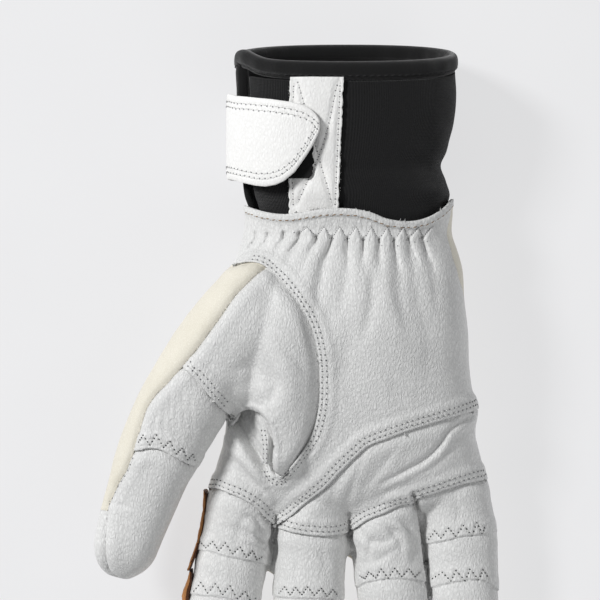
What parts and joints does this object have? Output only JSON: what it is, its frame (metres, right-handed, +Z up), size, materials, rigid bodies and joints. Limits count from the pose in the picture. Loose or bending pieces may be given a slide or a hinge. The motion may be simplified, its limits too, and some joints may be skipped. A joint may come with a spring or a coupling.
{
  "type": "cross-country ski glove",
  "caption": "Right-hand leather ski glove, palm up, with a gathered wrist, curved thumb panel, padded fingers, knit cuff and a closing strap at the wrist.",
  "frame": {"origin": "middle of the glove's bounding box, on the surface that it rests on", "axes": "+Z up out of the palm; +Y from the fingers to the cuff's mouth; +X from the thumb to the little finger's side"},
  "size_m": [0.1592, 0.2762, 0.0595],
  "materials": {
    "white_goat_leather": "white goat leather, fine pebbled grain, soft sheen",
    "beige_leather": "beige leather, matt",
    "tan_leather": "tan leather with raw cut edges, matt",
    "black_knit": "fine ribbed knit over thin foam",
    "black_binding": "smooth stretch binding, soft sheen",
    "hook_tape": "hook tape, matt"
  },
  "bodies": {
    "root": {"palm_panel": "white_goat_leather", "knuckle_patch": "white_goat_leather", "thenar_panel": "white_goat_leather", "thumb_middle": "white_goat_leather", "thumb_tip": "white_goat_leather", "thumb_tip_back": "white_goat_leather", "thumb_back": "beige_leather", "back_panel": "beige_leather", "index_front": "white_goat_leather", "middle_front": "white_goat_leather", "ring_front": "white_goat_leather", "little_front": "white_goat_leather", "index_back": "beige_leather", "middle_back": "beige_leather", "ring_back": "beige_leather", "little_back": "beige_leather", "index_guard_upper": "tan_leather", "index_guard_lower": "tan_leather", "knit_cuff": "black_knit", "cuff_binding": "black_binding", "cuff_strip": "white_goat_leather", "hook_tab": "hook_tape", "strap": "white_goat_leather"}
  },
  "joints": []
}
